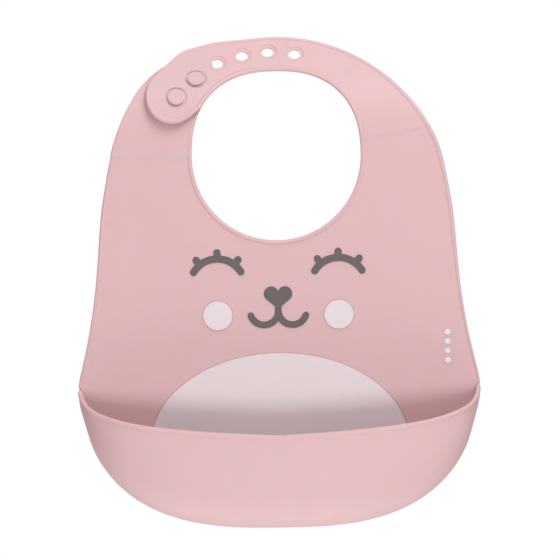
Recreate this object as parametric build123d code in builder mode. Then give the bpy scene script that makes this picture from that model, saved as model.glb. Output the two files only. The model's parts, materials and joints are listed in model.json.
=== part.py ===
from build123d import *
from math import acos, asin, atan2, copysign, cos, degrees, pi, radians, sin, tan
import os

# Silicone baby bib: a thin apron with a crumb pocket at its foot and a neck band that
# buttons together at the wearer's shoulder.  Millimetres, +Z up, the front faces -Y.
# The origin is the centre of the neck opening, on the plane of the apron's back.

# --- sheet and overall outline -------------------------------------------------------
SHEET = 2.0                  # thickness of the apron and of both neck straps
RIM_WIDTH = 2.4              # raised rim that runs round every edge
RIM_RISE = 0.5
BAND_RADIUS = 102.0          # outer edge of the shoulders and of the neck band
BAND_CENTRE = (0, -35)
FLARE_RADIUS = 345.0         # the sides flare gently towards the pocket corners
HALF_WIDTH = 115.0           # at the pocket corners
CORNER_RADIUS = 40.0
FLARE_ANGLE = degrees(acos(1 - (HALF_WIDTH - BAND_RADIUS) / (FLARE_RADIUS + CORNER_RADIUS)))
FOOT_TOP = BAND_CENTRE[1] - (FLARE_RADIUS + CORNER_RADIUS) * sin(radians(FLARE_ANGLE))
FOOT_POWERS = (2.9, 1.9)     # the foot's curve, across and down
FOOT_STEPS = 8
BOTTOM = -211.5
NECK_RADIUS = 48.2           # the neck opening: a circle below, a fuller arch above
NECK_ARCH = 2.4              # exponent of the arch
REACH = 200.0                # outlines are carried this far either way

# --- the neck band leans back ---------------------------------------------------------
LEAN_START = 10.0            # height at which the sheet starts to lean back
LEAN_RADIUS = 50.0           # of the back face
LEAN_ANGLE = 42.0
LEAN_TAIL = 40.0             # straight stretch above the bend
STRAP_PIVOT = 56.0           # the hole strap turns about this upright line ...
STRAP_TURN = 2.1             # ... to lie in front of the stud arm, degrees

# --- fastening -------------------------------------------------------------------------
STUD_ARM_START = 166.0       # directions from the neck centre, degrees from +X
STUD_ARM_ROOT = ((-62.0, 28.5), 18.0)
STUD_ARM_END = ((-47.5, 48.0), 13.6)
SEAM_ROOT = 30.0
SEAM_MID = 65.0
SEAM_TIP = 101.3
SEAM_GAP = 0.2
STRAP_END = 200.0            # past the end of the hole strap
PADDLE_CIRCLES = (((-58.8, 34.4), 15.4), ((-46.5, 47.2), 15.8), ((-12.0, 60.0), 6.3))
STUD_PLACES = {"lower": (-56.7, 33.7), "upper": (-45.4, 43.7)}
HOLE_PLACES = ((-33.2, 52.6), (-19.0, 56.7), (-4.2, 58.6), (11.2, 57.3))
HOLE_DIAMETER = 7.0
HOLE_RECESS = 10.4
RECESS_DEPTH = 0.6
STEM_DIAMETER = 6.2
HEAD_DIAMETER = 10.0
HEAD_THICKNESS = 1.4
HEAD_EDGE = 0.5
FIT = 0.3

# --- crumb pocket ----------------------------------------------------------------------
POCKET_DEPTH = 43.0
POCKET_POWER = 3.0           # fullness of the pocket's front, seen from above
ROUND_END = 80.0             # the front's middle is left flat
POCKET_WALL = 2.2
ROUND_STEPS = 9
POCKET_SPARE = 10.0          # height above the lip that is cut away
LIP_BACK = -129.5            # height of the lip at the apron
LIP_FRONT = -155.5           # height of the lip at the front

# --- coloured inlays -------------------------------------------------------------------
INLAY_DEPTH = 0.5
INLAY_RISE = 0.1
FACE_HALF = 34.6             # eye and cheek distance from the middle
EYE_HEIGHT = -74.4           # centre of the closed lid's arc
EYE_RADIUS = 15.9
EYE_STROKE = 4.2
EYE_HALF_SWEEP = 58.0
LASH_ANGLE = 38.0
LASH_REACH = 19.4
LASH_WIDTH = 4.2
CHEEK_HEIGHT = -91.0
CHEEK_RADIUS = 8.3
NOSE_HEIGHT = -78.8
NOSE_LOBE = 4.2
NOSE_HALF = 3.95
NOSE_TIP = -86.6
NOSE_TIP_RADIUS = 0.8
MOUTH_HEIGHT = -88.5
MOUTH_RADIUS = 8.1
MOUTH_SWEEP = 160.0
MOUTH_STROKE = 3.9
BELLY_CENTRE = -165.0
BELLY_HALF = (73.8, 52.2)
BELLY_MARGIN = 6.0
MARK_PLACE = (96.5, -110.0)
MARK_DOTS = 4
MARK_PITCH = 5.4
MARK_RADIUS = 1.6


# --- frames and outlines ---------------------------------------------------------------
def turned_side():
    """The side-view plane of the hole strap, turned to clear the stud arm."""
    turn = radians(STRAP_TURN)
    return Plane(
        origin=(STRAP_PIVOT, 0, 0),
        x_dir=(-sin(turn), cos(turn), 0),
        z_dir=(cos(turn), sin(turn), 0),
    )


APRON_SIDE = Plane.YZ
STRAP_SIDE = turned_side()
FRONT = Plane.XZ


def lean(height, depth):
    """Lean angle and y of the sheet at a height, at a depth in front of its back face."""
    if height <= LEAN_START:
        return 0.0, -depth
    radius = LEAN_RADIUS + depth
    full = radians(LEAN_ANGLE)
    rise = height - LEAN_START
    if rise <= radius * sin(full):
        angle = asin(rise / radius)
        return angle, LEAN_RADIUS - radius * cos(angle)
    tail = rise - radius * sin(full)
    return full, LEAN_RADIUS - radius * cos(full) + tail * tan(full)


def on_sheet(side, x, height, lift=0.0):
    """A plane on the sheet's front face: its normal points out, its x runs across the sheet."""
    angle, y = lean(height, SHEET)
    outward = side.x_dir * -cos(angle) + side.y_dir * sin(angle)
    along = (x - side.origin.X + y * side.z_dir.Y) / side.z_dir.X
    place = side.from_local_coords(Vector(y, height, along)) + outward * lift
    return Plane(origin=place, x_dir=side.z_dir, z_dir=outward)


def side_profile(side, back, front):
    """Side view of the sheet between two depths in front of its back face."""
    with BuildSketch(side.offset(-REACH)) as profile:
        with BuildLine():
            faces = []
            for depth in (back, front):
                upright = Line((-depth, BOTTOM - 10), (-depth, LEAN_START))
                bend = JernArc(upright @ 1, (0, 1), LEAN_RADIUS + depth, -LEAN_ANGLE)
                tail = Line(bend @ 1, bend @ 1 + (bend % 1) * LEAN_TAIL)
                faces.append((upright, tail))
            Line(faces[0][0] @ 0, faces[1][0] @ 0)
            Line(faces[0][1] @ 1, faces[1][1] @ 1)
        make_face()
    return profile.sketch


def neck_points(radius):
    """The fuller arch of the neck opening, from its right side over the top to its left."""
    points = []
    for step in range(13):
        angle = pi * step / 12
        x = copysign(abs(cos(angle)) ** (2 / NECK_ARCH), cos(angle))
        points.append((radius * x, radius * abs(sin(angle)) ** (2 / NECK_ARCH)))
    return points


def neck_opening(grow=0.0):
    radius = NECK_RADIUS + grow
    with BuildSketch(FRONT) as opening:
        with BuildLine():
            CenterArc((0, 0), radius, 180, 180)
            Spline(*neck_points(radius), tangents=((0, 1), (0, -1)))
        make_face()
    return opening.sketch


def foot_points(inset):
    """The foot of the bib from its right corner to its middle, drawn in by the inset."""
    points = []
    for step in range(FOOT_STEPS + 1):
        angle = pi / 2 * step / FOOT_STEPS
        x = (HALF_WIDTH - inset) * abs(cos(angle)) ** (2 / FOOT_POWERS[0])
        drop = (FOOT_TOP - BOTTOM - inset) * sin(angle) ** (2 / FOOT_POWERS[1])
        points.append((x if step < FOOT_STEPS else 0.0, FOOT_TOP - drop))
    return points


def whole_outline(inset=0.0):
    """Front view of the bib with its band closed, without the neck opening."""
    with BuildSketch(FRONT) as outline:
        with BuildLine():
            radius = BAND_RADIUS - inset
            shoulder = JernArc((0, BAND_CENTRE[1] + radius), (1, 0), radius, -90)
            flare = JernArc(shoulder @ 1, (0, -1), FLARE_RADIUS + inset, FLARE_ANGLE)
            corner = JernArc(flare @ 1, flare % 1, CORNER_RADIUS - inset, -FLARE_ANGLE)
            Spline(corner @ 1, *foot_points(inset)[1:], tangents=((0, -1), (-1, 0)))
            mirror(about=Plane.YZ)
        make_face()
    return outline.sketch


def paddle_outline(inset=0.0):
    """The hole strap's whole front view: the band as far as the lower stud, and a round end."""
    x, height = STUD_PLACES["lower"]
    turn = degrees(atan2(height, x))
    with BuildSketch(FRONT) as strap:
        add(whole_outline(inset))
        add(wedge(SEAM_ROOT - 5, turn), mode=Mode.INTERSECT)
        with BuildSketch(FRONT, mode=Mode.PRIVATE) as paddle:
            for place, radius in PADDLE_CIRCLES:
                with Locations(place):
                    Circle(radius - inset)
            make_hull()
        add(paddle.sketch)
        add(neck_opening(inset), mode=Mode.SUBTRACT)
    return strap.sketch


def arm_outline():
    """The stud arm's front view: the shoulder, then a round-ended arm."""
    with BuildSketch(FRONT) as arm:
        with BuildSketch(FRONT, mode=Mode.PRIVATE) as shoulder:
            add(whole_outline())
            add(wedge(150, STUD_ARM_START), mode=Mode.INTERSECT)
        for place, radius in (STUD_ARM_ROOT, STUD_ARM_END):
            with Locations(place):
                Circle(radius)
        make_hull()
        add(shoulder.sketch)
        add(wedge(90, STUD_ARM_START), mode=Mode.INTERSECT)
        add(neck_opening(), mode=Mode.SUBTRACT)
    return arm.sketch


def wedge(first, last):
    """Everything seen from the neck centre between two directions."""
    with BuildSketch(FRONT) as sector:
        with BuildLine():
            middle = (first + last) / 2
            Polyline((0, 0), aim(first, 180), aim(middle, 180), aim(last, 180), close=True)
        make_face()
    return sector.sketch


def aim(angle, distance):
    return (distance * cos(radians(angle)), distance * sin(radians(angle)))


def sheet_prism(side, outline, back, front):
    """The sheet between two depths, cut to a front-view outline."""
    with BuildPart() as sheet:
        extrude(side_profile(side, back, front), amount=2 * REACH, dir=side.z_dir)
        front_view = outline.moved(Location((0, REACH, 0)))
        extrude(front_view, amount=2 * REACH, dir=(0, -1, 0), mode=Mode.INTERSECT)
    return sheet.part


def rimmed_sheet(side, outline, inside):
    """The sheet cut to an outline, thicker outside the inner line by the rim's rise."""
    with BuildPart() as sheet:
        add(sheet_prism(side, outline, 0, SHEET + RIM_RISE))
        add(sheet_prism(side, inside, SHEET, SHEET + 3 * RIM_RISE), mode=Mode.SUBTRACT)
    return sheet.part


def strap_length(first, last):
    """One length of the hole strap, between two directions."""
    with BuildSketch(FRONT) as length:
        add(wedge(first, last))
        offset(amount=-SEAM_GAP / 2)
        add(paddle_outline(), mode=Mode.INTERSECT)
    return rimmed_sheet(STRAP_SIDE, length.sketch, paddle_outline(RIM_WIDTH))


# --- closure studs ---------------------------------------------------------------------
def stud_plane(name):
    """The stud's own plane on the stud arm's front face, and its height to the strap's."""
    x, z = STUD_PLACES[name]
    shift = (STRAP_PIVOT - x) * tan(radians(STRAP_TURN))
    angle, _ = lean(z, SHEET)
    gap = shift * cos(angle)
    base = on_sheet(APRON_SIDE, x, z - gap * sin(angle))
    return base, gap


# --- crumb pocket ----------------------------------------------------------------------
def pocket_section(inset, narrowed, raised, depth):
    """The pocket's front view at one depth, narrowed and raised towards its front."""
    top = LIP_BACK + POCKET_SPARE
    scale = narrowed * (HALF_WIDTH - inset) / HALF_WIDTH
    fall = (FOOT_TOP - BOTTOM - inset - raised) / (FOOT_TOP - BOTTOM)
    curve_points = [(scale * x, FOOT_TOP + fall * (z - FOOT_TOP)) for x, z in foot_points(0)]
    with BuildSketch(FRONT.offset(depth)) as section:
        with BuildLine():
            curve = Spline(*curve_points, tangents=((0, -1), (-1, 0)))
            Polyline(curve @ 0, (scale * HALF_WIDTH, top), (0, top))
            mirror(about=Plane.YZ)
        make_face()
    return section.sketch


def pocket_block(inset):
    """The pocket as a solid with a rounded front, its walls drawn in by the inset."""
    depth = POCKET_DEPTH - inset
    wall_height = LIP_FRONT - BOTTOM
    sections = [pocket_section(inset, 1, 0, SHEET)]
    for step in range(1, ROUND_STEPS + 1):
        turn = radians(ROUND_END) * step / ROUND_STEPS
        forward = depth * sin(turn) ** (2 / POCKET_POWER)
        left = cos(turn) ** (2 / POCKET_POWER)
        sections.append(pocket_section(inset, left, (1 - left) * wall_height, forward))
    with BuildPart() as block:
        loft(sections, ruled=True)
    return block.part


def lip_plane():
    """The pocket's mouth, falling towards the front."""
    return Plane(
        origin=(0, 0, LIP_BACK),
        x_dir=(1, 0, 0),
        z_dir=(0, LIP_FRONT - LIP_BACK, POCKET_DEPTH),
    )


# --- coloured inlays -------------------------------------------------------------------
def eye_outline(side):
    """A closed eye: a bowed lid with three lashes, on one side of the face."""
    centre = (side * FACE_HALF, EYE_HEIGHT)
    with BuildSketch(FRONT) as eye:
        with BuildLine():
            CenterArc(centre, EYE_RADIUS, 90 - EYE_HALF_SWEEP, 2 * EYE_HALF_SWEEP)
        trace(line_width=EYE_STROKE)
        for turn in (-1, 1):
            with Locations(centre):
                with PolarLocations(EYE_RADIUS, 1, start_angle=90 + turn * EYE_HALF_SWEEP):
                    Circle(EYE_STROKE / 2)
        for turn in (-LASH_ANGLE, 0, LASH_ANGLE):
            with Locations(Location(centre, (0, 0, turn))):
                with Locations((0, (EYE_RADIUS + LASH_REACH) / 2)):
                    SlotCenterToCenter(LASH_REACH - EYE_RADIUS, LASH_WIDTH, rotation=90)
    return eye.sketch


def cheek_outline(side):
    with BuildSketch(FRONT) as cheek:
        with Locations((side * FACE_HALF, CHEEK_HEIGHT)):
            Circle(CHEEK_RADIUS)
    return cheek.sketch


def muzzle_outline():
    """A heart-shaped nose on a short stem, and a smile of two curved strokes."""
    with BuildSketch(FRONT) as muzzle:
        for side, start, sweep in ((-1, 0, -MOUTH_SWEEP), (1, 180, MOUTH_SWEEP)):
            with BuildLine():
                stroke = CenterArc((side * MOUTH_RADIUS, MOUTH_HEIGHT), MOUTH_RADIUS, start, sweep)
            trace(line_width=MOUTH_STROKE)
            tip = stroke @ 1
            with Locations((tip.X, tip.Y)):
                Circle(MOUTH_STROKE / 2)
        with Locations((0, (NOSE_HEIGHT + MOUTH_HEIGHT) / 2)):
            Rectangle(MOUTH_STROKE, NOSE_HEIGHT - MOUTH_HEIGHT + MOUTH_STROKE / 2)
        for side in (-1, 1):
            with BuildSketch(FRONT, mode=Mode.PRIVATE) as lobe:
                with Locations((side * NOSE_HALF, NOSE_HEIGHT)):
                    Circle(NOSE_LOBE)
                with Locations((0, NOSE_TIP)):
                    Circle(NOSE_TIP_RADIUS)
                make_hull()
            add(lobe.sketch)
    return muzzle.sketch


def belly_outline():
    """A tall oval that runs down inside the pocket, clear of the pocket's walls."""
    with BuildSketch(FRONT) as belly:
        with Locations((0, BELLY_CENTRE)):
            Ellipse(*BELLY_HALF)
        add(whole_outline(BELLY_MARGIN), mode=Mode.INTERSECT)
    return belly.sketch


def mark_outline():
    """An upright row of plain dots near the side edge."""
    with BuildSketch(FRONT) as mark:
        with Locations(MARK_PLACE):
            with GridLocations(0, MARK_PITCH, 1, MARK_DOTS):
                Circle(MARK_RADIUS)
    return mark.sketch


def make_inlay(outline):
    """A coloured inlay, set into the apron's face and a little proud of it."""
    with BuildPart() as inlay:
        bed = outline.moved(Location((0, INLAY_DEPTH - SHEET, 0)))
        extrude(bed, amount=INLAY_DEPTH + INLAY_RISE, dir=(0, -1, 0))
    return inlay.part


INLAYS = {
    "belly_inlay": belly_outline(),
    "cheek_left": cheek_outline(-1),
    "cheek_right": cheek_outline(1),
    "eye_left": eye_outline(-1),
    "eye_right": eye_outline(1),
    "nose_and_mouth": muzzle_outline(),
    "side_mark": mark_outline(),
}


# --- the pieces ------------------------------------------------------------------------
# Apron panel: the flat sheet, its rim, and the shoulders as far as the straps' roots.
with BuildSketch(FRONT) as apron_front:
    add(whole_outline())
    add(neck_opening(), mode=Mode.SUBTRACT)
    with BuildSketch(FRONT, mode=Mode.PRIVATE) as straps:
        add(wedge(SEAM_ROOT, 90))
        offset(amount=SEAM_GAP / 2)
        add(wedge(90, STUD_ARM_START))
    add(straps.sketch, mode=Mode.SUBTRACT)

with BuildSketch(FRONT) as inside_apron_rim:
    add(whole_outline(RIM_WIDTH))
    add(neck_opening(RIM_WIDTH), mode=Mode.SUBTRACT)
    with Locations((0, LIP_BACK)):
        Rectangle(3 * HALF_WIDTH, 100, align=(Align.CENTER, Align.MAX))

with BuildPart() as apron_panel:
    add(rimmed_sheet(APRON_SIDE, apron_front.sketch, inside_apron_rim.sketch))
    for inlay_outline in INLAYS.values():
        add(make_inlay(inlay_outline), mode=Mode.SUBTRACT)

# Crumb pocket: an open trough moulded on the foot of the apron.
with BuildPart() as crumb_pocket:
    add(pocket_block(0))
    add(pocket_block(POCKET_WALL), mode=Mode.SUBTRACT)
    split(bisect_by=lip_plane(), keep=Keep.BOTTOM)

# Stud arm: the short neck strap, which lies behind the long one and carries the studs.
with BuildPart() as stud_arm:
    add(sheet_prism(APRON_SIDE, arm_outline(), 0, SHEET))
    for stud_name in STUD_PLACES:
        stud_base, _ = stud_plane(stud_name)
        with BuildSketch(stud_base):
            Circle(STEM_DIAMETER / 2)
        extrude(amount=SHEET + FIT, both=True, mode=Mode.SUBTRACT)

pieces = {"apron_panel": apron_panel, "crumb_pocket": crumb_pocket, "stud_arm": stud_arm}

# Closure studs: a stem moulded through the arm, with a flat head in front of the strap.
for stud_name in STUD_PLACES:
    base, gap = stud_plane(stud_name)
    with BuildPart() as stud:
        with BuildSketch(base.offset(-SHEET)):
            Circle(STEM_DIAMETER / 2)
        extrude(amount=SHEET + gap + FIT)
        with BuildSketch(base.offset(gap + FIT)):
            Circle(HEAD_DIAMETER / 2)
        extrude(amount=HEAD_THICKNESS)
        front_rim = stud.edges().group_by(Axis(base.origin, base.z_dir))[-1]
        fillet(front_rim, radius=HEAD_EDGE)
    pieces["closure_stud_" + stud_name] = stud

# Hole strap: three lengths that flex on each other at the seams.
SEAMS = {
    "strap_root": (SEAM_ROOT, SEAM_MID),
    "strap_mid": (SEAM_MID, SEAM_TIP),
    "strap_tip": (SEAM_TIP, STRAP_END),
}
for strap_name, (first, last) in SEAMS.items():
    with BuildPart() as strap:
        add(strap_length(first, last))
        for x, height in HOLE_PLACES:
            hole_top = on_sheet(STRAP_SIDE, x, height, RIM_RISE + FIT)
            with Locations(hole_top):
                CounterBoreHole(
                    radius=HOLE_DIAMETER / 2,
                    counter_bore_radius=HOLE_RECESS / 2,
                    counter_bore_depth=RIM_RISE + FIT + RECESS_DEPTH,
                    depth=3 * SHEET,
                )
        for stud_name in STUD_PLACES:
            base, gap = stud_plane(stud_name)
            with Locations(base.offset(gap + FIT)):
                Hole(radius=HOLE_DIAMETER / 2, depth=SHEET + 2 * FIT)
    pieces[strap_name] = strap

# Inlays: the belly, the face and the row of dots.
for inlay_name, inlay_outline in INLAYS.items():
    with BuildPart() as inlay:
        add(make_inlay(inlay_outline))
    pieces[inlay_name] = inlay

os.makedirs("parts", exist_ok=True)
for piece_name, piece in pieces.items():
    piece.part.label = piece_name
    export_step(piece.part, f"parts/{piece_name}.step")
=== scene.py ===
import json
import math

import bmesh
import bpy
import numpy as np
from mathutils import Matrix, Vector
from mathutils.geometry import delaunay_2d_cdt


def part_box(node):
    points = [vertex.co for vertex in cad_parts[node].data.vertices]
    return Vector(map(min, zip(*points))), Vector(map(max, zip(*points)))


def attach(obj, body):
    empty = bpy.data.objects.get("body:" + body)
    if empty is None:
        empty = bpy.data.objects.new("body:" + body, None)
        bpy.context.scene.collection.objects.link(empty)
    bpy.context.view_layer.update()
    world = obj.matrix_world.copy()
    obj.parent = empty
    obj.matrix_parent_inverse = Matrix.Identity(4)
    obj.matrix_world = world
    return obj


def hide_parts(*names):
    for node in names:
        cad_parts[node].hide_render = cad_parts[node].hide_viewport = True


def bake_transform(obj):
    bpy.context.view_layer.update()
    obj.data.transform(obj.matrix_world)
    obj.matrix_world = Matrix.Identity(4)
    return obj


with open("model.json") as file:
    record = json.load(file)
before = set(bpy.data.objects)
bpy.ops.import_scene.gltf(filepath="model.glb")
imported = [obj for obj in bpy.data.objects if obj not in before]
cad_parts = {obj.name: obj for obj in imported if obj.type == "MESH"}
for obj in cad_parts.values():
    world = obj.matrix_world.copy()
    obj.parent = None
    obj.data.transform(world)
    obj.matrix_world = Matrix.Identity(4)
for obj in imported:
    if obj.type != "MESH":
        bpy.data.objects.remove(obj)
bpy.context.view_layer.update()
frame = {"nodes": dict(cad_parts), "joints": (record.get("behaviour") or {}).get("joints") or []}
MM = 0.001

# --- sizes in millimetres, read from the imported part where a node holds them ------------


def node_box(name):
    low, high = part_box(name)
    return np.array(low) / MM, np.array(high) / MM


APRON_LOW, APRON_HIGH = node_box("apron_panel")

HALF_WIDTH = APRON_HIGH[0]
BOTTOM = APRON_LOW[2]
POCKET_DEPTH = 43.0
SHEET_MIDDLE = 1.0           # the sheet's middle lies this far in front of its back
SHEET_HALF = 0.85
BEAD_RADIUS = 1.4
ARM_BEAD_RADIUS = 1.1
BAND_RADIUS = 102.0
BAND_DROP = -35.0            # height of the band circle's centre
FLARE_RADIUS = 345.0
CORNER_RADIUS = 40.0
FOOT_POWERS = (2.9, 1.9)
NECK_RADIUS = 48.2
NECK_ARCH = 2.4
LEAN_START = 10.0
LEAN_RADIUS = 50.0
LEAN_ANGLE = math.radians(42)
STRAP_PIVOT = 56.0
STRAP_TURN = math.radians(2.1)
EASE_FROM = 36.0             # x where the strap's turn away from the arm starts to ease off
EASE_TO = 2 * STRAP_PIVOT - EASE_FROM
TURN_FULL = 40.0             # heading past which the strap has its whole turn
LIP_CORNER = -131.6
LIP_FRONT = -156.6
LIP_PLANAR = 0.76            # the rest of the lip's fall goes with the distance from the side
LIP_INSET = 2.2              # the lip's middle lies this far behind the pocket's front
POCKET_POWER = 3
FOLD_SOFTNESS = 3.2
FLARE_ANGLE = math.acos(1 - (HALF_WIDTH - BAND_RADIUS) / (FLARE_RADIUS + CORNER_RADIUS))
FOOT_TOP = BAND_DROP - (FLARE_RADIUS + CORNER_RADIUS) * math.sin(FLARE_ANGLE)

# directions from the neck centre, degrees from +X
ROOT_CUT = 10.0
SHOULDER_CUT = 47.5
TOP_CUT = 83.0
ARM_CUT = 180.0
SEAMS = {"strap_root": 30.0, "strap_mid": 65.0, "strap_tip": 101.3}
HOLE_RADIUS = 3.5
RECESS_RADIUS = 5.2
STUD_RECESS_RADIUS = 6.2
RECESS_DEPTH = 0.55
HOLES = ((-33.2, 52.6), (-19.0, 56.7), (-4.2, 58.6), (11.2, 57.3))
STUDS = {"closure_stud_lower": (-56.7, 33.7), "closure_stud_upper": (-45.4, 43.7)}
PADDLE_CIRCLES = (
    ((-58.8, 34.4), 15.4), ((-46.8, 46.6), 14.4), ((-33.0, 52.4), 12.2), ((-12.0, 60.0), 6.3),
)
ARM_END = (-47.6, 46.4)
ARM_END_RADIUS = 13.0
SWELL = 6.0                  # the stud arm is wider than the band by this much
SWELL_HEADING = 148.0
SWELL_REACH = 20.0
SWELL_STARTS = (105, 125)
ARM_OUTER_END = 131          # headings where the arm's two long edges stop
ARM_INNER_END = 148
ARM_TURN = (100, -30)        # the part of a circle that its end takes up

# distances from a beaded edge at which the mesh has a line of points
BEAD_STEPS = 1.12 * np.array([
    0, 0.02, 0.09, 0.2, 0.37, 0.6, 0.9, 1.25, 1.6, 1.9, 2.1, 2.22, 2.34, 2.5,
])

# heights where the sides are drawn in: (height, reach, amount, from this far out)
DRAWN_IN = ((-17.0, 22.0, 2.4, NECK_RADIUS), (-152.0, 15.0, 1.4, 80.0))

WRAP = LEAN_RADIUS + SHEET_MIDDLE      # radius of the middle sheet's lean

# mesh density
SHELL_ROWS_RIGHT = 120
SHELL_ROWS_LEFT = 116
SHELL_COLUMNS = 84
UPPER_SHARE = 0.42           # share of the rows that lie above the pocket's corner
RIM_SPACING = 0.9
HOLE_SIDES = 48
STUD_SIDES = 64
FILL_PITCH = 1.3
FILL_FROM_CUT = 0.6
RING_FROM_CUT = 0.45
FILL_FROM_BEAD = 0.7
FILL_FROM_RECESS = 1.8

# stud outlines as (radius, height): the head from its top, then the stem down to its foot
STUD_HEAD = [
    (0, 1.95), (2.0, 1.97), (3.4, 2.03), (4.1, 2.05), (4.5, 1.97), (4.78, 1.8), (4.92, 1.55),
    (4.95, 1.3), (4.9, 1.0), (4.75, 0.75), (4.4, 0.6), (3.9, 0.5), (3.1, 0.45),
]
STUD_STEM = [(3.1, 0.85), (3.4, 0.75), (3.4, -0.5), (0, -0.6)]

# the grooves round the inlays, as (centre, half size) seen from the front, the shade painted into them, and
# the colours
GROOVE_WIDTH = 0.55
GROOVE_NEAR = -2.6 * MM
GROOVE_FAR = -1.0 * MM
# painted shade: the dark colour that the groove lines are mixed towards, standing in for the shade inside
# the grooves
GROOVE_SHADE_COLOUR = (0.42, 0.22, 0.23, 1)
GROOVES = [((0, -165.0), (74.0, 52.4)), ((34.6, -91.0), (8.5, 8.5))]
PINK = (0.625, 0.462, 0.47)
PALE = (0.77, 0.69, 0.70)
GREY = (0.135, 0.125, 0.124)
DOT = (0.80, 0.76, 0.765)

# floor and camera
FLOOR_SIZE = 3.0
FLOOR_HEIGHT = -1.3
AMBIENT = (0.51, 0.39, 0.40, 1)
CAMERA_LENS = 112.5          # focal length in mm for each metre of distance
CAMERA_DISTANCE = 3.0
CAMERA_PITCH = 3.2
CAMERA_ROLL = -0.8
CAMERA_AIM = (0.0012, -0.0711)

# lamps as (name, place, aim, size, power)
LAMPS = (
    ("front_low", (0.1, -1.6, -0.66), (0, 0, -0.1), 0.45, 10.0),
    ("top", (0.3, -0.6, 1.1), (0, 0, -0.05), 0.8, 13.0),
    ("bounce", (0, -0.28, -0.95), (0, -0.02, -0.2), 0.7, 3.0),
    ("behind", (-0.4, 1.5, 0.5), (0, 0, -0.05), 0.8, 9.0),
)


# --- the sheet's shape ------------------------------------------------------------------
def smoothstep(value, low, high):
    t = np.clip((value - low) / (high - low), 0, 1)
    return t * t * (3 - 2 * t)


def lean_back(z, depth):
    """y of the leaning sheet at a height, at a depth in front of its back face."""
    radius = LEAN_RADIUS + depth
    rise = np.maximum(z - LEAN_START, 0)
    bent = radius * math.sin(LEAN_ANGLE)
    arc = LEAN_RADIUS - np.sqrt(radius**2 - np.minimum(rise, bent) ** 2)
    return arc + np.maximum(rise - bent, 0) * math.tan(LEAN_ANGLE)


def strap_shift(x, z):
    """How far in front of the arm's surface the hole strap lies."""
    eased = (EASE_TO - np.minimum(x, EASE_TO)) ** 2 / (2 * (EASE_TO - EASE_FROM))
    ramp = np.where(x > EASE_FROM, eased, STRAP_PIVOT - x)
    heading = np.degrees(np.arctan2(z, x))
    return math.tan(STRAP_TURN) * ramp * smoothstep(heading, ROOT_CUT, TURN_FULL)


def on_arm(x, z):
    """The middle surface of the apron and the stud arm."""
    return np.stack([x, lean_back(z, SHEET_MIDDLE), z], -1)


def on_strap(x, z):
    """The middle surface of the hole strap."""
    return np.stack([x, lean_back(z, SHEET_MIDDLE) - strap_shift(x, z), z], -1)


def outward(surface, x, z):
    """The surface's forward normal."""
    step = 0.05
    across = surface(x + step, z) - surface(x - step, z)
    up = surface(x, z + step) - surface(x, z - step)
    normal = np.cross(across, up)
    normal /= np.linalg.norm(normal, axis=-1, keepdims=True)
    return np.where(normal[..., 1:2] > 0, -normal, normal)


def neck_radius(angle):
    """Radius of the neck opening in a direction: a circle below, a fuller arch above."""
    power = np.where(np.sin(angle) > 0, NECK_ARCH, 2.0)
    spread = np.abs(np.cos(angle)) ** power + np.abs(np.sin(angle)) ** power
    return NECK_RADIUS * spread ** (-1 / power)


def band_radius(angle):
    """Radius of the band's outer edge in a direction."""
    drop = BAND_DROP * np.sin(angle)
    return drop + np.sqrt(drop**2 - BAND_DROP**2 + BAND_RADIUS**2)


def side_outline():
    """The right-hand outline below the band circle: the flare, the corner and the foot."""
    turn = np.linspace(0, FLARE_ANGLE, 60)
    flare = np.stack([
        BAND_RADIUS + FLARE_RADIUS * (1 - np.cos(turn)), BAND_DROP - FLARE_RADIUS * np.sin(turn)
    ], -1)
    turn = turn[::-1][1:]
    corner = np.stack([
        HALF_WIDTH - CORNER_RADIUS * (1 - np.cos(turn)), FOOT_TOP + CORNER_RADIUS * np.sin(turn)
    ], -1)
    turn = np.linspace(0, math.pi / 2, 200)[1:]
    inset = SHEET_HALF * smoothstep(turn, 0, 0.3) * (1 - smoothstep(turn, 0.5, 1.0))
    foot = np.stack([
        (HALF_WIDTH - inset) * np.cos(turn) ** (2 / FOOT_POWERS[0]),
        FOOT_TOP - (FOOT_TOP - BOTTOM) * np.sin(turn) ** (2 / FOOT_POWERS[1]),
    ], -1)
    foot[-1, 0] = 0
    whole = np.concatenate([flare, corner, foot])
    turned = int(np.argmax(whole[:, 1] < LIP_CORNER))
    return whole[:turned], whole[turned:]


def run_length(points):
    steps = np.linalg.norm(np.diff(points, axis=0), axis=1)
    return np.concatenate([[0], np.cumsum(steps)])


def at_lengths(points, wanted):
    """Points at given lengths along a polyline."""
    length = run_length(points)
    return np.stack([np.interp(wanted, length, points[:, k]) for k in range(points.shape[1])], -1)


def resampled(points, count):
    return at_lengths(points, np.linspace(0, run_length(points)[-1], count))


# --- cross-section of the sheet ------------------------------------------------------------
def bead_height(distance, radius):
    """Half thickness at a distance from a beaded edge: a round bead, then the sheet."""
    inside = np.clip(distance, 0, 2 * radius)
    bead = np.sqrt(np.maximum(radius**2 - (radius - inside) ** 2, 0))
    sheet = np.where(distance > radius, SHEET_HALF, 0)
    blend = 0.12
    merged = np.where(
        distance > radius,
        sheet + 0.5 * ((bead - sheet) + np.sqrt((bead - sheet) ** 2 + blend**2)),
        bead,
    )
    return merged


def slimmed(points):
    """Draws the sides in a little below the neck band and below the pocket's corners."""
    x, z = points[:, 0], points[:, 2]
    size = np.abs(x)
    for height, reach, amount, inner in DRAWN_IN:
        fall = np.exp(-((z - height) / reach) ** 2) * smoothstep(size, inner + 2, BAND_RADIUS)
        x = x - np.sign(x) * amount * fall
    return np.stack([x, points[:, 1], z], -1)


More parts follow.
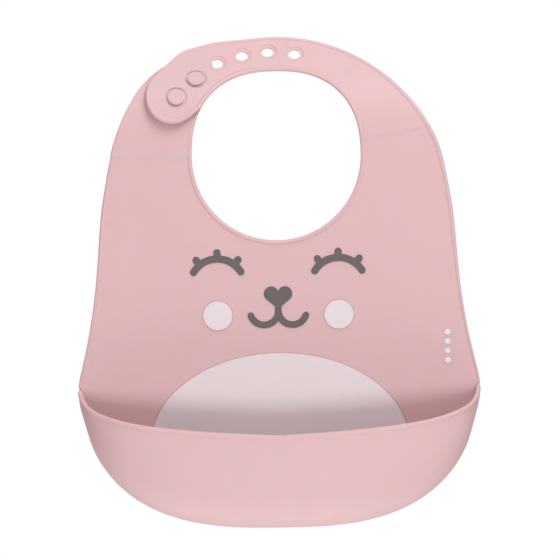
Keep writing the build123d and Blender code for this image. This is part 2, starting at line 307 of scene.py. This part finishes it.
def make_mesh(name, vertices, faces, material, sharp_over=math.radians(40)):
    """A smooth mesh from millimetre points, its faces turned outwards."""
    vertices = slimmed(np.asarray(vertices))
    mesh = bpy.data.meshes.new(name)
    mesh.from_pydata([tuple(v * MM) for v in vertices], [], faces)
    mesh.validate()
    body = bmesh.new()
    body.from_mesh(mesh)
    bmesh.ops.remove_doubles(body, verts=body.verts, dist=1e-7)
    bmesh.ops.recalc_face_normals(body, faces=body.faces)
    for face in body.faces:
        face.smooth = True
    for edge in body.edges:
        if len(edge.link_faces) == 2 and edge.calc_face_angle(0) > sharp_over:
            edge.smooth = False
    body.to_mesh(mesh)
    body.free()
    mesh.materials.append(material)
    piece = bpy.data.objects.new(name, mesh)
    bpy.context.scene.collection.objects.link(piece)
    return piece


# --- apron and pocket: one sheet from the neck opening to the rim -----------------------------
def half_boundary(count, cut):
    """One half from its cut down to the middle: outline points, and the rim they lead to."""
    side, foot = side_outline()
    turn = np.linspace(math.radians(cut), 0, 30)
    top = np.stack([band_radius(turn) * np.cos(turn), band_radius(turn) * np.sin(turn)], -1)
    lower_turn = np.linspace(0, -1, 40)
    reach = np.stack([band_radius(lower_turn) * np.cos(lower_turn),
                      band_radius(lower_turn) * np.sin(lower_turn)], -1)
    reach = reach[reach[:, 1] > BAND_DROP]
    upper = np.concatenate([top, reach[1:], side[1:]])
    upper = resampled(upper, int(count * UPPER_SHARE))
    lower = resampled(np.concatenate([side[-1:], foot]), count - len(upper) + 1)
    fraction = run_length(lower) / run_length(lower)[-1]
    lip = lip_curve(fraction)
    rim_upper = np.stack([upper[:, 0], np.full(len(upper), -SHEET_MIDDLE), upper[:, 1]], -1)
    rim_upper[:, 1] = lean_back(upper[:, 1], SHEET_MIDDLE)
    outline = np.concatenate([upper, lower[1:]])
    rim = np.concatenate([rim_upper, lip[1:]])
    return outline, rim


def lip_curve(fraction):
    """Middle of the pocket's lip from the right corner to the front, by share of its length."""
    turn = np.linspace(0, math.pi / 2, 400)
    across = np.cos(turn) ** (2 / POCKET_POWER)
    forward = np.sin(turn) ** (2 / POCKET_POWER)
    fall = LIP_PLANAR * forward + (1 - LIP_PLANAR) * (1 - across)
    curve = np.stack([
        (HALF_WIDTH - BEAD_RADIUS) * across,
        -SHEET_MIDDLE - (POCKET_DEPTH - LIP_INSET) * forward,
        LIP_CORNER + (LIP_FRONT - LIP_CORNER) * fall,
    ], -1)
    curve[-1, 0] = 0
    return at_lengths(curve, fraction * run_length(curve)[-1])


def sheet_path(foot, rim, count):
    """One line over the sheet: from the neck opening out to the rim, folding at the foot."""
    heading = math.atan2(foot[1], foot[0])
    inner = neck_radius(np.array(heading))
    start = np.array([inner * math.cos(heading), inner * math.sin(heading)])
    flat = start + (foot - start) * np.linspace(0, 1, 400)[:, None]
    apron = np.stack([flat[:, 0], lean_back(flat[:, 1], SHEET_MIDDLE), flat[:, 1]], -1)
    folds = np.linalg.norm(rim - apron[-1]) > 1e-6
    if folds:
        turn = np.linspace(0, math.pi / 2, 300)[1:]
        forward = np.sin(turn) ** (2 / POCKET_POWER)
        lift = 1 - np.cos(turn) ** (2 / POCKET_POWER)
        wall = np.stack([
            apron[-1, 0] + (rim[0] - apron[-1, 0]) * lift,
            apron[-1, 1] + (rim[1] - apron[-1, 1]) * forward,
            apron[-1, 2] + (rim[2] - apron[-1, 2]) * lift,
        ], -1)
        path = np.concatenate([apron, wall])
    else:
        path = apron
    path = resampled(path, 800)
    if folds:
        path = smoothed(path, run_length(path)[-1] / (len(path) - 1), FOLD_SOFTNESS)
    length = run_length(path)[-1]
    middle = np.linspace(BEAD_STEPS[-1], length - BEAD_STEPS[-1], count)
    lengths = np.concatenate([BEAD_STEPS[:-1], middle, length - BEAD_STEPS[:-1][::-1]])
    return at_lengths(path, lengths), lengths, length


def smoothed(line, spacing, softness):
    """A line of evenly spaced points with its corners rounded and its ends kept."""
    reach = max(int(3 * softness / spacing), 1)
    weights = np.exp(-0.5 * (np.arange(-reach, reach + 1) * spacing / softness) ** 2)
    weights /= weights.sum()
    before = 2 * line[0] - line[reach:0:-1]
    after = 2 * line[-1] - line[-2:-reach - 2:-1]
    padded = np.concatenate([before, line, after])
    return np.stack([np.convolve(column, weights, "valid") for column in padded.T], -1)


def build_bib_shell(material):
    outline, rim = half_boundary(SHELL_ROWS_RIGHT, ROOT_CUT)
    left_outline, left_rim = half_boundary(SHELL_ROWS_LEFT, 180 - ARM_CUT)
    outline = np.concatenate([outline, (left_outline * (-1, 1))[::-1][1:]])
    rim = np.concatenate([rim, (left_rim * (-1, 1, 1))[::-1][1:]])
    rows = []
    for foot, edge in zip(outline, rim):
        points, lengths, length = sheet_path(foot, edge, SHELL_COLUMNS)
        half = bead_height(np.minimum(lengths, length - lengths), BEAD_RADIUS)
        rows.append((points, half))
    middle = np.array([r[0] for r in rows])
    half = np.array([r[1] for r in rows])
    along = np.gradient(middle, axis=0)
    across = np.gradient(middle, axis=1)
    normal = np.cross(along, across)
    normal /= np.linalg.norm(normal, axis=-1, keepdims=True)
    if normal[len(normal) // 2, 20, 1] > 0:
        normal = -normal
    front = middle + normal * half[..., None]
    back = middle - normal * half[..., None]
    return grid_solid("bib_shell", front, back, material)


def grid_solid(name, front, back, material):
    """A closed solid between two grids that share their first and last columns."""
    rows, columns = front.shape[:2]
    vertices = np.concatenate([front.reshape(-1, 3), back.reshape(-1, 3)])
    second = rows * columns
    faces = []
    for r in range(rows - 1):
        for c in range(columns - 1):
            a, b = r * columns + c, (r + 1) * columns + c
            faces.append((a, b, b + 1, a + 1))
            faces.append((second + a, second + a + 1, second + b + 1, second + b))
    for r in (0, rows - 1):
        for c in range(columns - 1):
            a = r * columns + c
            faces.append((a, a + 1, second + a + 1, second + a))
    return make_mesh(name, vertices, faces, material)


# --- straps: flat patterns wrapped on to the leaning surface -----------------------------------


def unrolled(points):
    """Front-view points laid out flat, so that lengths on the leaning sheet are true."""
    z = points[..., 1]
    rise = np.maximum(z - LEAN_START, 0)
    bent = WRAP * math.sin(LEAN_ANGLE)
    arc = WRAP * np.arcsin(np.minimum(rise, bent) / WRAP)
    tail = np.maximum(rise - bent, 0) / math.cos(LEAN_ANGLE)
    return np.stack([points[..., 0], np.minimum(z, LEAN_START) + arc + tail], -1)


def rolled(points):
    """The front view of points on the flat pattern."""
    w = points[..., 1]
    run = np.maximum(w - LEAN_START, 0)
    bent = WRAP * LEAN_ANGLE
    arc = WRAP * np.sin(np.minimum(run, bent) / WRAP)
    tail = np.maximum(run - bent, 0) * math.cos(LEAN_ANGLE)
    return np.stack([points[..., 0], np.minimum(w, LEAN_START) + arc + tail], -1)


def polar(radius, degrees_):
    turn = np.radians(degrees_)
    return np.stack([radius * np.cos(turn), radius * np.sin(turn)], -1)


def band_edge(first, last, inner):
    headings = np.linspace(first, last, max(int(abs(last - first)) * 2, 4))
    turn = np.radians(headings)
    if inner:
        return polar(neck_radius(turn), headings)
    swell = SWELL * np.exp(-((headings - SWELL_HEADING) / SWELL_REACH) ** 2)
    return polar(band_radius(turn) + swell * smoothstep(headings, *SWELL_STARTS), headings)


def softened(points, spacing, softness):
    """An open line resampled evenly, its corners rounded and its ends kept."""
    count = max(int(run_length(points)[-1] / spacing), 8)
    return smoothed(resampled(points, count), spacing, softness)


def circle_arc(centre, radius, first, last):
    headings = np.linspace(first, last, 60)
    return np.array(centre) + polar(radius, headings)


def hull(points):
    """The convex hull of points, anticlockwise."""
    order = points[np.lexsort((points[:, 1], points[:, 0]))]
    chains = []
    for run in (order, order[::-1]):
        chain = []
        for p in run:
            while len(chain) > 1:
                a, b = chain[-1] - chain[-2], p - chain[-1]
                if a[0] * b[1] - a[1] * b[0] > 0:
                    break
                chain.pop()
            chain.append(p)
        chains.append(chain[:-1])
    return np.array(chains[0] + chains[1])


def strap_rim():
    """The hole strap's edge: out along the band, round the paddle end and back."""
    paddle = hull(np.concatenate([circle_arc(c, r, 0, 354) for c, r in PADDLE_CIRCLES]))
    first = int(np.argmax(paddle[:, 1]))
    paddle = resampled(np.roll(paddle, -first, axis=0), 240)
    reach = np.linalg.norm(paddle, axis=1)
    edge = neck_radius(np.arctan2(paddle[:, 1], paddle[:, 0]))
    paddle = paddle[:int(np.argmax(reach < edge))]
    last = math.degrees(math.atan2(paddle[-1, 1], paddle[-1, 0]))
    start = math.degrees(math.atan2(paddle[0, 1], paddle[0, 0]))
    outer = band_edge(ROOT_CUT, start - 1, inner=False)
    inner = band_edge(last - 0.5, ROOT_CUT, inner=True)
    return softened(unrolled(np.concatenate([outer, paddle, inner])), RIM_SPACING, 1.4)


def arm_rim():
    """The stud arm's edge: out along the shoulder, round its end and back."""
    outer = band_edge(ARM_CUT, ARM_OUTER_END, inner=False)
    end = circle_arc(ARM_END, ARM_END_RADIUS, *ARM_TURN)
    inner = band_edge(ARM_INNER_END, ARM_CUT, inner=True)
    return softened(unrolled(np.concatenate([outer, end, inner])), RIM_SPACING, 2.2)


def distance_to(line, points):
    """Distance from each point to a polyline."""
    best = np.full(len(points), 1e9)
    for a, b in zip(line[:-1], line[1:]):
        step = b - a
        t = np.clip((points - a) @ step / max(step @ step, 1e-12), 0, 1)
        gap = np.linalg.norm(points - a - t[:, None] * step, axis=1)
        best = np.minimum(best, gap)
    return best


def inside(polygon, points):
    x, y = points[:, 0], points[:, 1]
    result = np.zeros(len(points), bool)
    for (x0, y0), (x1, y1) in zip(polygon, np.roll(polygon, -1, axis=0)):
        crosses = (y0 > y) != (y1 > y)
        if y1 != y0:
            result ^= crosses & (x < (x1 - x0) * (y - y0) / (y1 - y0) + x0)
    return result


def cut_line(heading, count):
    """Points across the band in a direction, from the neck opening to the outer edge."""
    turn = math.radians(heading)
    inner = float(neck_radius(np.array(turn)))
    outer = float(band_radius(turn))
    line = unrolled(polar(np.linspace(inner, outer, 200), np.full(200, heading)))
    length = run_length(line)[-1]
    middle = np.linspace(BEAD_STEPS[-1], length - BEAD_STEPS[-1], count)
    lengths = np.concatenate([BEAD_STEPS[:-1], middle, length - BEAD_STEPS[:-1][::-1]])
    return at_lengths(line, lengths)


def nearest(line, point):
    return int(np.argmin(np.linalg.norm(line - point, axis=1)))


def hole_rings(radius, recess):
    """Ring radii round one hole, closer together at its edge and at the recess's wall."""
    edge = [radius + step for step in (0, 0.04, 0.13, 0.3, 0.6)]
    wall = [recess + step for step in (-0.5, -0.3, -0.15, 0, 0.15, 0.3, 0.5, 1.0)]
    return edge + [r for r in wall if r > edge[-1] + 0.2]


def sheet_height(points, rim, bead, holes, front):
    """Half thickness of a strap at points of its flat pattern."""
    height = bead_height(distance_to(rim, points), bead)
    for centre, radius, recess in holes:
        gap = np.linalg.norm(points - centre, axis=1)
        if front:
            height -= RECESS_DEPTH * (1 - smoothstep(gap, recess - 0.35, recess + 0.35))
        edge = 0.3
        near = np.clip(edge - (gap - radius), 0, edge)
        height -= edge - np.sqrt(edge**2 - near**2)
    return height


def build_strap(name, surface, rim, cuts, holes, bead, material):
    """One strap piece: the part of the pattern inside its rim and between its cut lines."""
    start = cuts[0]
    if len(cuts) == 2:
        stop = cuts[1]
        outer = rim[nearest(rim, start[-1]) + 1:nearest(rim, stop[-1])]
        inner = rim[nearest(rim, stop[0]) + 1:nearest(rim, start[0])]
        outline = np.concatenate([start, outer, stop[::-1], inner])
    else:
        outer = rim[nearest(rim, start[-1]) + 1:nearest(rim, start[0])]
        outline = np.concatenate([start, outer])
    tangent = np.gradient(rim, axis=0)
    tangent /= np.linalg.norm(tangent, axis=1, keepdims=True)
    normal = np.stack([-tangent[:, 1], tangent[:, 0]], -1)
    probe = rim + normal * 3
    if inside(np.concatenate([rim, rim[:1]]), probe).mean() < 0.5:
        normal = -normal
    points = [outline]
    edges = [(k, (k + 1) % len(outline)) for k in range(len(outline))]
    total = len(outline)

    def keep_clear(candidates, margin):
        clear = inside(outline, candidates)
        for cut in cuts:
            clear &= distance_to(cut, candidates) > margin
        return clear

    for step in BEAD_STEPS[1:]:
        ring = rim + normal * step
        clear = keep_clear(ring, RING_FROM_CUT)
        numbers = np.full(len(ring), -1)
        numbers[clear] = total + np.arange(clear.sum())
        points.append(ring[clear])
        edges += [(a, b) for a, b in zip(numbers[:-1], numbers[1:]) if a >= 0 and b >= 0]
        total += int(clear.sum())
    for centre, radius, recess in holes:
        for ring_radius in hole_rings(radius, recess):
            turn = np.linspace(0, 2 * math.pi, HOLE_SIDES, endpoint=False)
            ring = centre + ring_radius * np.stack([np.cos(turn), np.sin(turn)], -1)
            points.append(ring)
            edges += [(total + k, total + (k + 1) % HOLE_SIDES) for k in range(HOLE_SIDES)]
            total += HOLE_SIDES
    low, high = outline.min(0), outline.max(0)
    grid = np.stack(np.meshgrid(np.arange(low[0], high[0], FILL_PITCH),
                                np.arange(low[1], high[1], FILL_PITCH)), -1)
    grid[1::2, :, 0] += FILL_PITCH / 2
    grid = grid.reshape(-1, 2)
    keep = keep_clear(grid, FILL_FROM_CUT)
    keep &= distance_to(rim, grid) > BEAD_STEPS[-1] + FILL_FROM_BEAD
    for centre, _, recess in holes:
        keep &= np.linalg.norm(grid - centre, axis=1) > recess + FILL_FROM_RECESS
    points.append(grid[keep])
    points = np.concatenate(points)
    flat = [Vector(p) for p in points]
    plan, _, faces, _, _, _ = delaunay_2d_cdt(flat, [(int(a), int(b)) for a, b in edges], [], 0, 1e-6)
    plan = np.array([tuple(v) for v in plan])
    faces = np.array(faces)
    centres = plan[faces].mean(1)
    keep = inside(outline, centres)
    for centre, radius, _ in holes:
        keep &= np.linalg.norm(centres - centre, axis=1) > radius * 0.999
    faces = faces[keep]
    front_view = rolled(plan)
    middle = surface(front_view[:, 0], front_view[:, 1])
    facing = outward(surface, front_view[:, 0], front_view[:, 1])
    front = middle + facing * sheet_height(plan, rim, bead, holes, True)[:, None]
    back = middle - facing * sheet_height(plan, rim, bead, holes, False)[:, None]
    count = len(plan)
    solid = [tuple(int(v) for v in f) for f in faces]
    solid += [tuple(int(v) + count for v in f[::-1]) for f in faces]
    uses = {}
    for f in faces:
        for a, b in ((f[0], f[1]), (f[1], f[2]), (f[2], f[0])):
            key = (min(a, b), max(a, b))
            uses[key] = uses.get(key, 0) + 1
    for (a, b), used in uses.items():
        thickest = max(np.linalg.norm(front[k] - back[k]) for k in (a, b))
        if used == 1 and thickest > 1e-4:
            solid.append((int(a), int(b), int(b) + count, int(a) + count))
    return make_mesh(name, np.concatenate([front, back]), solid, material)


def bend_over(piece, hinge):
    """Looks up a hinge's flex joint and the direction across its axis on the strap, then bakes the piece's
    transform into its mesh.
    """
    joint = next(j for j in frame["joints"] if j["name"] == hinge + "_flex")
    place = np.array(joint["pos_m"])
    axis = np.array(joint["axis"])
    heading = math.radians(SEAMS[hinge])
    facing = outward(on_strap, place[0] / MM, place[2] / MM)
    along = np.cross(axis, facing)
    along *= np.sign(along @ (-math.sin(heading), 0, math.cos(heading)))
    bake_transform(piece)


# --- studs ---------------------------------------------------------------------------------------
def build_stud(name, material):
    """A stem through the arm and a flat round head with a soft edge and a slight dish."""
    x, z = STUDS[name]
    base = on_strap(np.array(x), np.array(z))
    facing = outward(on_strap, np.array(x), np.array(z))
    side = np.array([1.0, 0, 0])
    side -= facing * (side @ facing)
    side /= np.linalg.norm(side)
    up = np.cross(facing, side)
    behind = strap_shift(np.array(x), np.array(z)) * abs(facing[1])
    head = STUD_HEAD + [(radius, height - behind) for radius, height in STUD_STEM]
    vertices = []
    faces = []
    for radius, height in head:
        for k in range(STUD_SIDES):
            turn = 2 * math.pi * k / STUD_SIDES
            vertices.append(base + facing * height
                            + (side * math.cos(turn) + up * math.sin(turn)) * max(radius, 1e-3))
    for r in range(len(head) - 1):
        for k in range(STUD_SIDES):
            n = (k + 1) % STUD_SIDES
            low, high = r * STUD_SIDES, (r + 1) * STUD_SIDES
            faces.append((low + k, low + n, high + n, high + k))
    faces.append(tuple(range(STUD_SIDES)))
    last = (len(head) - 1) * STUD_SIDES
    faces.append(tuple(last + k for k in range(STUD_SIDES - 1, -1, -1)))
    return make_mesh(name + "_button", np.array(vertices), faces, material)


# --- materials -----------------------------------------------------------------------------------
def set_input(node, name, value):
    node.inputs[name].default_value = value


def set_mix(node, first, second):
    """The two colours of a colour mix, whose sockets share their names with other kinds."""
    sockets = [i for i in node.inputs if i.type == "RGBA"]
    sockets[0].default_value = first
    sockets[1].default_value = second


def silicone(name, colour, rough=0.52, groove_shade=False):
    """Matt moulded silicone: faint mottling, a fine grain and slow waves in its surface."""
    material = bpy.data.materials.new(name)
    material.use_nodes = True
    nodes = material.node_tree.nodes
    links = material.node_tree.links
    shader = nodes["Principled BSDF"]
    set_input(shader, "IOR", 1.42)
    set_input(shader, "Specular IOR Level", 0.35)
    set_input(shader, "Subsurface Weight", 0.3)
    set_input(shader, "Subsurface Scale", 0.003)
    set_input(shader, "Subsurface Radius", (1.0, 0.35, 0.3))
    set_input(shader, "Sheen Weight", 0.08)
    set_input(shader, "Sheen Roughness", 0.4)
    place = nodes.new("ShaderNodeTexCoord")
    mottle = nodes.new("ShaderNodeTexNoise")
    set_input(mottle, "Scale", 22.0)
    set_input(mottle, "Detail", 4.0)
    links.new(place.outputs["Object"], mottle.inputs["Vector"])
    grain = nodes.new("ShaderNodeTexNoise")
    set_input(grain, "Scale", 1400.0)
    set_input(grain, "Detail", 2.0)
    links.new(place.outputs["Object"], grain.inputs["Vector"])
    shade = nodes.new("ShaderNodeMix")
    shade.data_type = "RGBA"
    set_input(shade, "A", (*[c * 0.975 for c in colour], 1))
    set_input(shade, "B", (*[min(c * 1.02, 1) for c in colour], 1))
    links.new(mottle.outputs["Fac"], shade.inputs["Factor"])
    tint = shade.outputs["Result"]
    rough_range = nodes.new("ShaderNodeMapRange")
    set_input(rough_range, "To Min", rough - 0.05)
    set_input(rough_range, "To Max", rough + 0.06)
    links.new(mottle.outputs["Fac"], rough_range.inputs["Value"])
    links.new(rough_range.outputs["Result"], shader.inputs["Roughness"])
    bump = nodes.new("ShaderNodeBump")
    set_input(bump, "Strength", 0.25)
    set_input(bump, "Distance", 0.00006)
    links.new(grain.outputs["Fac"], bump.inputs["Height"])
    # painted shade along the grooves round the belly and the cheeks
    if groove_shade:
        tint = painted_groove_shade(nodes, links, place, tint)
    links.new(tint, shader.inputs["Base Color"])
    links.new(bump.outputs["Normal"], shader.inputs["Normal"])
    return material


def painted_groove_shade(nodes, links, place, tint):
    """Paints shade into thin lines round the belly and the cheeks: the shade inside the grooves where the
    colours were moulded apart.
    """
    split = nodes.new("ShaderNodeSeparateXYZ")
    links.new(place.outputs["Object"], split.inputs["Vector"])

    def maths(operation, first, second=None):
        node = nodes.new("ShaderNodeMath")
        node.operation = operation
        for socket, value in zip(node.inputs, (first, second)):
            if value is None:
                continue
            if isinstance(value, (int, float)):
                socket.default_value = value
            else:
                links.new(value, socket)
        return node.outputs[0]

    x, y, z = split.outputs
    lines = []
    for centre, half in GROOVES:
        across = maths("DIVIDE", maths("SUBTRACT", maths("ABSOLUTE", x), centre[0] * MM), half[0] * MM)
        up = maths("DIVIDE", maths("SUBTRACT", z, centre[1] * MM), half[1] * MM)
        reach = maths("SQRT", maths("ADD", maths("MULTIPLY", across, across), maths("MULTIPLY", up, up)))
        gap = maths("MULTIPLY", maths("ABSOLUTE", maths("SUBTRACT", reach, 1.0)), min(half) / GROOVE_WIDTH)
        lines.append(maths("SUBTRACT", 1.0, maths("MINIMUM", gap, 1.0)))
    line = lines[0]
    for other in lines[1:]:
        line = maths("MAXIMUM", line, other)
    near_face = maths("MULTIPLY", maths("GREATER_THAN", y, GROOVE_NEAR), maths("LESS_THAN", y, GROOVE_FAR))
    line = maths("MULTIPLY", maths("MULTIPLY", line, near_face), 0.55)
    # mixes the painted groove shade into the colour, on the apron's front face only
    darken = nodes.new("ShaderNodeMix")
    darken.data_type = "RGBA"
    links.new(line, darken.inputs["Factor"])
    links.new(tint, darken.inputs["A"])
    set_input(darken, "B", GROOVE_SHADE_COLOUR)
    return darken.outputs["Result"]


pink = silicone("pink_silicone", PINK)
# this pink carries painted shade in the grooves round the belly and the cheeks
pink_groove_shaded = silicone("pink_silicone_groove_shaded", PINK, groove_shade=True)
pale = silicone("pale_silicone", PALE)
grey = silicone("grey_silicone", GREY, rough=0.6)
dot = silicone("dot_print", DOT, rough=0.45)

# --- build the pieces ------------------------------------------------------------------------------
shell = build_bib_shell(pink_groove_shaded)
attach(shell, "bib")
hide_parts("apron_panel", "crumb_pocket")

strap_edge = strap_rim()
cut_root = cut_line(ROOT_CUT, SHELL_COLUMNS)
cut_shoulder = cut_line(SHOULDER_CUT, 34)
cut_top = cut_line(TOP_CUT, 26)


def flat_holes(places, recess):
    return [(unrolled(np.array(p)), HOLE_RADIUS, recess) for p in places]


def holes_between(first, last):
    free = [p for p in HOLES if first <= math.degrees(math.atan2(p[1], p[0])) < last]
    return flat_holes(free, RECESS_RADIUS)


tip_holes = holes_between(TOP_CUT, 180) + flat_holes(STUDS.values(), STUD_RECESS_RADIUS)
parts = [
    ("strap_shoulder", [cut_root, cut_shoulder], [], "strap_root", 15, 13),
    ("strap_top", [cut_shoulder, cut_top], holes_between(SHOULDER_CUT, TOP_CUT), "strap_mid", 12, 12),
    ("strap_paddle", [cut_top], tip_holes, "strap_tip", 12, 12),
]
for name, cuts, holes, hinge, before, after in parts:
    piece = build_strap(name, on_strap, strap_edge, cuts, holes, BEAD_RADIUS, pink)
    bend_over(piece, hinge)
    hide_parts(hinge)

cut_arm = cut_line(ARM_CUT, SHELL_COLUMNS)
arm = build_strap("stud_arm_sheet", on_arm, arm_rim(), [cut_arm], [], ARM_BEAD_RADIUS, pink)
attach(arm, "bib")
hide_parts("stud_arm")
for name in STUDS:
    button = build_stud(name, pink)
    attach(button, "bib")
    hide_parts(name)

for name, material in (
    ("belly_inlay", pale), ("cheek_left", pale), ("cheek_right", pale), ("eye_left", grey),
    ("eye_right", grey), ("nose_and_mouth", grey), ("side_mark", dot),
):
    node = frame["nodes"][name]
    node.data.materials.clear()
    node.data.materials.append(material)

# --- floor, light and camera -------------------------------------------------------------------------

def make_floor():
    mesh = bpy.data.meshes.new("floor")
    half = FLOOR_SIZE / 2
    corners = [(x * half, y * half, FLOOR_HEIGHT) for x, y in ((-1, -1), (1, -1), (1, 1), (-1, 1))]
    mesh.from_pydata(corners, [], [(0, 1, 2, 3)])
    mesh.materials.append(silicone("floor_paint", (0.85, 0.85, 0.85), rough=0.8))
    floor = bpy.data.objects.new("floor", mesh)
    bpy.context.scene.collection.objects.link(floor)


def add_area(name, place, aim, size, power):
    lamp = bpy.data.lights.new(name, "AREA")
    lamp.size = size
    lamp.energy = power
    holder = bpy.data.objects.new(name, lamp)
    holder.location = place
    holder.rotation_euler = (Vector(aim) - Vector(place)).to_track_quat("-Z", "Y").to_euler()
    bpy.context.scene.collection.objects.link(holder)


def light_and_camera():
    scene = bpy.context.scene
    scene.view_settings.view_transform = "Standard"
    world = bpy.data.worlds.new("studio")
    world.use_nodes = True
    nodes = world.node_tree.nodes
    sky = nodes["Background"]
    ray = nodes.new("ShaderNodeLightPath")
    colour = nodes.new("ShaderNodeMix")
    colour.data_type = "RGBA"
    set_mix(colour, AMBIENT, (1, 1, 1, 1))
    world.node_tree.links.new(ray.outputs["Is Camera Ray"], colour.inputs["Factor"])
    world.node_tree.links.new(colour.outputs["Result"], sky.inputs["Color"])
    scene.world = world
    for lamp in LAMPS:
        add_area(*lamp)
    lens = bpy.data.cameras.new("camera")
    lens.lens = CAMERA_LENS * CAMERA_DISTANCE
    lens.sensor_width = 36.0
    lens.clip_start = 0.05
    camera = bpy.data.objects.new("camera", lens)
    pitch = math.radians(CAMERA_PITCH)
    camera.location = (
        CAMERA_AIM[0], -CAMERA_DISTANCE * math.cos(pitch), CAMERA_AIM[1] + CAMERA_DISTANCE * math.sin(pitch)
    )
    camera.rotation_mode = "XYZ"
    camera.rotation_euler = (math.radians(90 - CAMERA_PITCH), 0, 0)
    camera.rotation_euler = (
        camera.rotation_euler.to_matrix() @ Matrix.Rotation(math.radians(CAMERA_ROLL), 3, "Z")
    ).to_euler()
    bpy.context.scene.collection.objects.link(camera)
    scene.camera = camera


make_floor()
light_and_camera()
